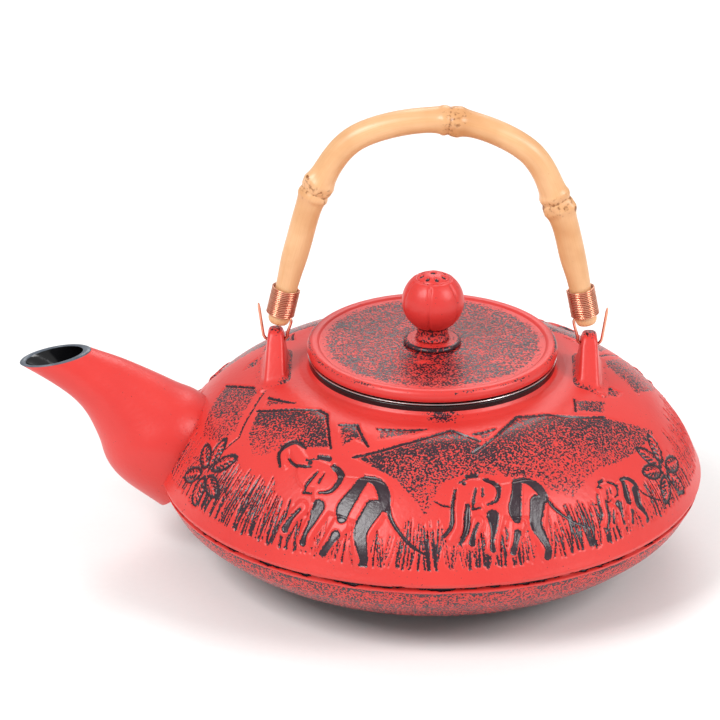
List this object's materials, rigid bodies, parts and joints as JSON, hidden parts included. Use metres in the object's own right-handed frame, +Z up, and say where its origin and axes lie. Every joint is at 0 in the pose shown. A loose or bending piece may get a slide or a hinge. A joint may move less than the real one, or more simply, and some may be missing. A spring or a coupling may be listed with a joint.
{
  "type": "cast iron teapot",
  "caption": "Saucer-shaped cast iron teapot with a short upturned spout, a lift-off lid over a drop-in infuser, and a bamboo bail handle that swings on wire hooks.",
  "frame": {"origin": "middle of the flat foot that the pot stands on, on the pot's axis", "axes": "+Z up along the pot's axis, -X towards the spout, +X the length from the spout to the far side of the rim, Y across"},
  "size_m": [0.2346, 0.186, 0.1645],
  "materials": {
    "enamelled_pot": "thin red enamel over black cast iron, worn dark in the relief",
    "enamelled_lid": "thin red enamel over stippled black cast iron",
    "fastener_steel": "plain turned steel",
    "infuser_steel": "bright pressed stainless steel",
    "bamboo": "smooth bent bamboo cane, clear lacquer",
    "copper_wire": "bright drawn copper wire"
  },
  "bodies": {
    "pot": {"pot_body": "enamelled_pot"},
    "infuser": {"infuser_rim": "infuser_steel", "infuser_wall": "infuser_steel", "infuser_base": "infuser_steel"},
    "lid": {"lid": "enamelled_lid", "knob_collar": "enamelled_lid", "lid_knob": "enamelled_lid", "knob_screw": "fastener_steel", "knob_washer": "fastener_steel"},
    "handle": {"handle_cane": "bamboo", "winding_left": "copper_wire", "winding_right": "copper_wire", "hook_left": "copper_wire", "hook_right": "copper_wire"}
  },
  "joints": [
    {"name": "handle_swing", "type": "hinge", "parent": "pot", "child": "handle", "pos_m": [0, 0, 0.0782], "axis": [1, 0, 0], "range_deg": [-70, 70]},
    {"name": "infuser_lift", "type": "slide", "parent": "pot", "child": "infuser", "axis": [0, 0, 1], "range_m": [0, 0.012]},
    {"name": "lid_lift", "type": "slide", "parent": "infuser", "child": "lid", "axis": [0, 0, 1], "range_m": [0, 0.014]}
  ]
}
